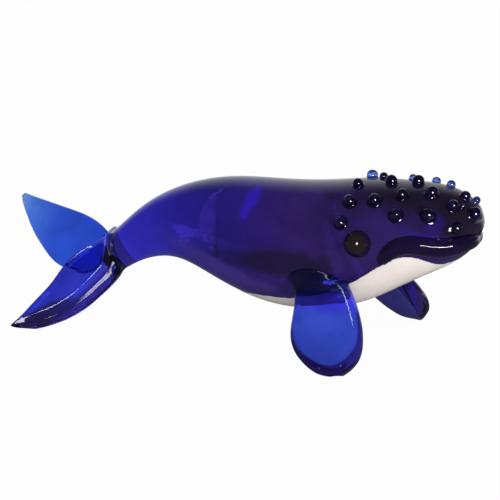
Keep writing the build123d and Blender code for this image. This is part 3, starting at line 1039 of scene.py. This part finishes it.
add_bubbles(body_points, body_faces, body_bubbles)
body = new_piece("glass_body", body_points, body_faces)
dress(body, body_glass, "body_glass", "body")


def facing_back(tree, vector, low, high, front):
    """A level that rises to 1 behind the whale."""
    dot = add_vector(tree, "DOT_PRODUCT", vector, BACKWARD)
    return add_range(tree, dot.outputs["Value"], low, high, front, eased=True)


def studio_levels(tree, vector, mirror, through):
    """What rays see of the white surroundings: how many of them see it, and how bright it is there.
    Mirror and through hold, for each kind of ray, where the fade starts and ends and the level
    ahead of it."""
    path = tree.nodes.new("ShaderNodeLightPath")
    mirror, through = (facing_back(tree, vector, *fade) for fade in (mirror, through))
    level = mix_values(tree, path.outputs["Is Transmission Ray"], mirror, through)
    level = mix_values(tree, path.outputs["Is Camera Ray"], level, 1.0)
    seen = path.outputs["Is Camera Ray"]
    for name in ("Is Glossy Ray", "Is Transmission Ray"):
        more = tree.nodes.new("ShaderNodeMath")
        more.operation = "MAXIMUM"
        tree.links.new(seen, more.inputs[0])
        tree.links.new(path.outputs[name], more.inputs[1])
        seen = more.outputs[0]
    return seen, level


def make_floor():
    """White floor that the camera, mirrors and clear glass see as a glow."""
    size = FLOOR_SIZE
    corners = [(-size, -size, 0), (size, -size, 0), (size, size, 0), (-size, size, 0)]
    floor = new_piece("floor", corners, [(0, 1, 2, 3)])
    mat, tree, shader = new_material("floor_white")
    shader.inputs["Base Color"].default_value = (0.9, 0.9, 0.9, 1)
    shader.inputs["Roughness"].default_value = 0.9
    coords = tree.nodes.new("ShaderNodeTexCoord").outputs["Object"]
    seen, level = studio_levels(tree, coords, FLOOR_MIRROR, FLOOR_THROUGH)
    glow = add_node(tree, "ShaderNodeEmission", Strength=level)
    part = tree.nodes.new("ShaderNodeMath")
    part.operation = "MULTIPLY"
    part.inputs[1].default_value = FLOOR_GLOW
    tree.links.new(seen, part.inputs[0])
    mix = tree.nodes.new("ShaderNodeMixShader")
    tree.links.new(part.outputs[0], mix.inputs["Fac"])
    tree.links.new(shader.outputs["BSDF"], mix.inputs[1])
    tree.links.new(glow.outputs["Emission"], mix.inputs[2])
    tree.links.new(mix.outputs["Shader"], tree.nodes["Material Output"].inputs["Surface"])
    floor.data.materials.append(mat)


def make_world():
    """White surroundings all round the whale."""
    world = bpy.data.worlds.new("studio")
    bpy.context.scene.world = world
    world.use_nodes = True
    tree = world.node_tree
    back = tree.nodes["Background"]
    direction = tree.nodes.new("ShaderNodeTexCoord").outputs["Generated"]
    seen, level = studio_levels(tree, direction, WORLD_MIRROR, WORLD_THROUGH)
    tree.links.new(mix_values(tree, seen, WORLD_LIGHT, level), back.inputs["Strength"])
    back.inputs["Color"].default_value = (1, 1, 1, 1)


def place_aimed(name, data, azimuth, elevation, distance):
    """Object at some distance from the camera's target and turned to it. The azimuth is in degrees
    from the whale's right side towards its nose."""
    obj = bpy.data.objects.new(name, data)
    a, e = radians(azimuth), radians(elevation)
    obj.location = CAMERA_TARGET + Vector((sin(a) * cos(e), -cos(a) * cos(e), sin(e))) * distance
    obj.rotation_euler = (CAMERA_TARGET - obj.location).to_track_quat("-Z", "Y").to_euler()
    bpy.context.scene.collection.objects.link(obj)
    return obj


def add_lamp(name, azimuth, elevation, width, height, watts, receivers, roll=0.0):
    """Soft lamp that lights only the pieces named as its receivers."""
    data = bpy.data.lights.new(name, "AREA")
    data.shape = "RECTANGLE"
    data.size = width
    data.size_y = height
    data.energy = watts
    lamp = place_aimed(name, data, azimuth, elevation, LAMP_DISTANCE)
    lamp.rotation_euler.rotate_axis("Z", radians(roll))
    chosen = bpy.data.collections.new(f"{name}_receivers")
    for obj in receivers:
        chosen.objects.link(obj)
    lamp.light_linking.receiver_collection = chosen


def make_camera():
    """Camera at the photograph's viewing angle."""
    data = bpy.data.cameras.new("camera")
    data.lens = CAMERA_LENS
    data.sensor_width = CAMERA_SENSOR
    bpy.context.scene.camera = place_aimed(
        "camera", data, CAMERA_AZIMUTH, CAMERA_ELEVATION, CAMERA_DISTANCE
    )


make_floor()
make_world()
# Lamps: azimuth, elevation, width, height, watts, what they light and, for one, its roll
for lamp in (
    ("window", 56, 4, 0.08, 0.10, 1.4, [body, belly]),
    ("bead_light", 36, 10, 0.18, 0.18, 8.0, beads),
    ("eye_light", 6, 12, 0.10, 0.10, 1.6, eyes),
    ("rim_light", -11, 11, 0.02, 0.02, 0.025, flippers),
    ("flipper_light", 14, 51, 0.30, 0.05, 0.5, flippers),
    ("tip_light", -30, 31, 0.05, 0.05, 0.08, [thick_leaf]),
    ("leaf_light", -92, 48, 0.14, 0.05, 0.25, [thick_leaf]),
    ("bend_light", -41, 52, 0.18, 0.06, 0.4, [thick_leaf]),
    ("root_light", 14, 44, 0.50, 0.20, 3.0, [thick_leaf], -17),
    ("belly_light", 30, 3, 0.4, 0.4, 0.8, [belly]),
    ("lip_light", 51, 5, 0.34, 0.035, 1.8, [lip]),
):
    add_lamp(*lamp)
make_camera()
bpy.context.scene.view_settings.view_transform = "Standard"
